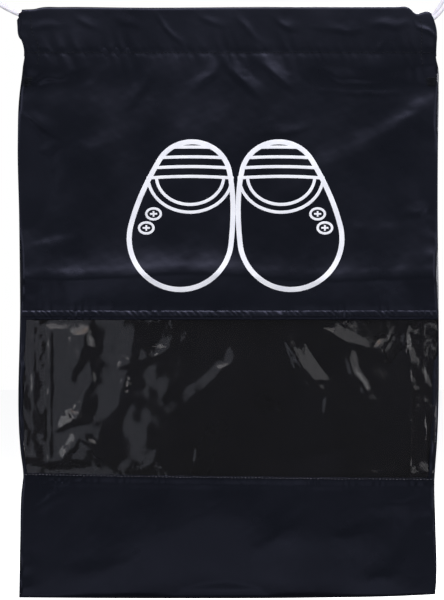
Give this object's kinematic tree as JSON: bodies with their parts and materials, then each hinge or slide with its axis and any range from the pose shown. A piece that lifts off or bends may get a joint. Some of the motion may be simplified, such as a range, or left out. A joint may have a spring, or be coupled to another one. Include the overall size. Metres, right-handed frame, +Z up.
{
  "type": "shoe bag",
  "caption": "Flat drawstring travel shoe bag of dark nylon with a clear vinyl window, a printed shoe pictogram and a white drawcord out of each top corner.",
  "frame": {"origin": "middle of the mouth's top edge, midway between the two corners that the drawcords pull on", "axes": "+Z up along the bag's height, +X along its width, front with the print and window towards -Y"},
  "size_m": [0.3527, 0.0227, 0.4501],
  "materials": {
    "dark_nylon": "satin",
    "clear_vinyl": "gloss",
    "dark_thread": "satin",
    "pale_thread": "satin",
    "white_cord": "matte",
    "white_ink": "matte"
  },
  "bodies": {
    "bag": {"front_upper_panel": "dark_nylon", "front_lower_panel": "dark_nylon", "back_panel": "dark_nylon", "front_casing": "dark_nylon", "back_casing": "dark_nylon", "window_top_hem": "dark_nylon", "window_bottom_hem": "dark_nylon", "window_film": "clear_vinyl", "left_seam_allowance": "dark_nylon", "right_seam_allowance": "dark_nylon", "bottom_seam_allowance": "dark_nylon", "left_seam_stitches": "dark_thread", "right_seam_stitches": "dark_thread", "bottom_seam_stitches": "dark_thread", "front_casing_stitches": "dark_thread", "back_casing_stitches": "dark_thread", "window_top_stitches": "dark_thread", "window_bottom_stitches": "pale_thread", "shoe_print": "white_ink"},
    "left_mouth_corner": {"left_front_exit_hem": "dark_nylon", "left_back_exit_hem": "dark_nylon", "left_bartack": "dark_thread"},
    "right_mouth_corner": {"right_front_exit_hem": "dark_nylon", "right_back_exit_hem": "dark_nylon", "right_bartack": "dark_thread"},
    "left_drawcord": {"left_drawcord": "white_cord", "left_cord_knot": "white_cord"},
    "right_drawcord": {"right_drawcord": "white_cord", "right_cord_knot": "white_cord"}
  },
  "joints": [
    {"name": "left_cord_pull", "type": "slide", "parent": "bag", "child": "left_drawcord", "axis": [-1, 0, 0], "range_m": [0, 0.085]},
    {"name": "right_corner_draw", "type": "slide", "parent": "bag", "child": "right_mouth_corner", "axis": [-1, 0, 0], "range_m": [0, 0.085], "deforming": ["front_upper_panel", "back_panel", "front_casing", "back_casing", "front_casing_stitches", "back_casing_stitches", "right_seam_allowance", "right_seam_stitches"]},
    {"name": "right_cord_pull", "type": "slide", "parent": "bag", "child": "right_drawcord", "axis": [1, 0, 0], "range_m": [0, 0.085]},
    {"name": "left_corner_draw", "type": "slide", "parent": "bag", "child": "left_mouth_corner", "axis": [1, 0, 0], "range_m": [0, 0.085], "deforming": ["left_seam_allowance", "left_seam_stitches"]}
  ],
  "couplings": [
    {"joint": "right_corner_draw", "follows": "left_cord_pull", "ratio": 1},
    {"joint": "left_corner_draw", "follows": "right_cord_pull", "ratio": 1}
  ]
}
